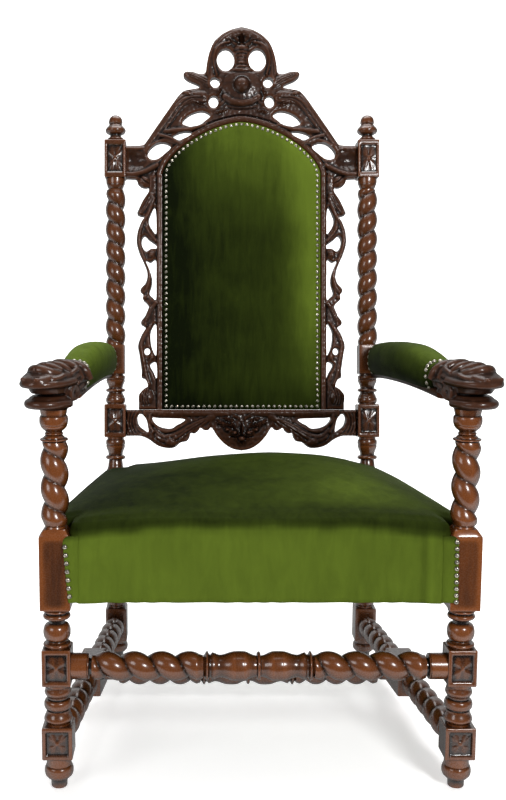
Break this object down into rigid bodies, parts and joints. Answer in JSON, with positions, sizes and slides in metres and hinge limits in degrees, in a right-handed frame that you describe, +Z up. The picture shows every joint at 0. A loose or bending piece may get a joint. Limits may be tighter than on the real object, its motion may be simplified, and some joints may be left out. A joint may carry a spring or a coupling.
{
  "type": "throne",
  "caption": "High-backed carved wooden throne with spiral-turned legs and posts, a pierced crest, beast-head arms and velvet seat, back and arm pads.",
  "frame": {"origin": "on the floor, under the middle of the whole throne's outline", "axes": "+Z up, the sitter faces -Y, +X is to the right in the picture"},
  "size_m": [0.7462, 0.7928, 1.3687],
  "materials": {
    "turned_wood": "warm brown varnish, glossy, darker in the grooves",
    "carved_wood": "dark brown varnish, semi-gloss, near black in the cuts",
    "velvet": "moss-green pile with a soft sheen and darker brushed patches",
    "nail_heads": "antiqued domed heads, worn bright on top"
  },
  "bodies": {
    "root": {"front_leg_left": "turned_wood", "front_leg_right": "turned_wood", "rear_post_left": "turned_wood", "rear_post_right": "turned_wood", "front_stretcher": "turned_wood", "side_stretcher_left": "turned_wood", "side_stretcher_right": "turned_wood", "cross_stretcher": "turned_wood", "seat_rail_front": "carved_wood", "seat_rail_back": "carved_wood", "seat_rail_left": "carved_wood", "seat_rail_right": "carved_wood", "seat_upholstery": "velvet", "crest_rail": "carved_wood", "back_stile_left": "carved_wood", "back_stile_right": "carved_wood", "lower_back_rail": "carved_wood", "back_panel": "velvet", "arm_left": "carved_wood", "arm_right": "carved_wood", "arm_pad_left": "velvet", "arm_pad_right": "velvet"}
  },
  "joints": []
}
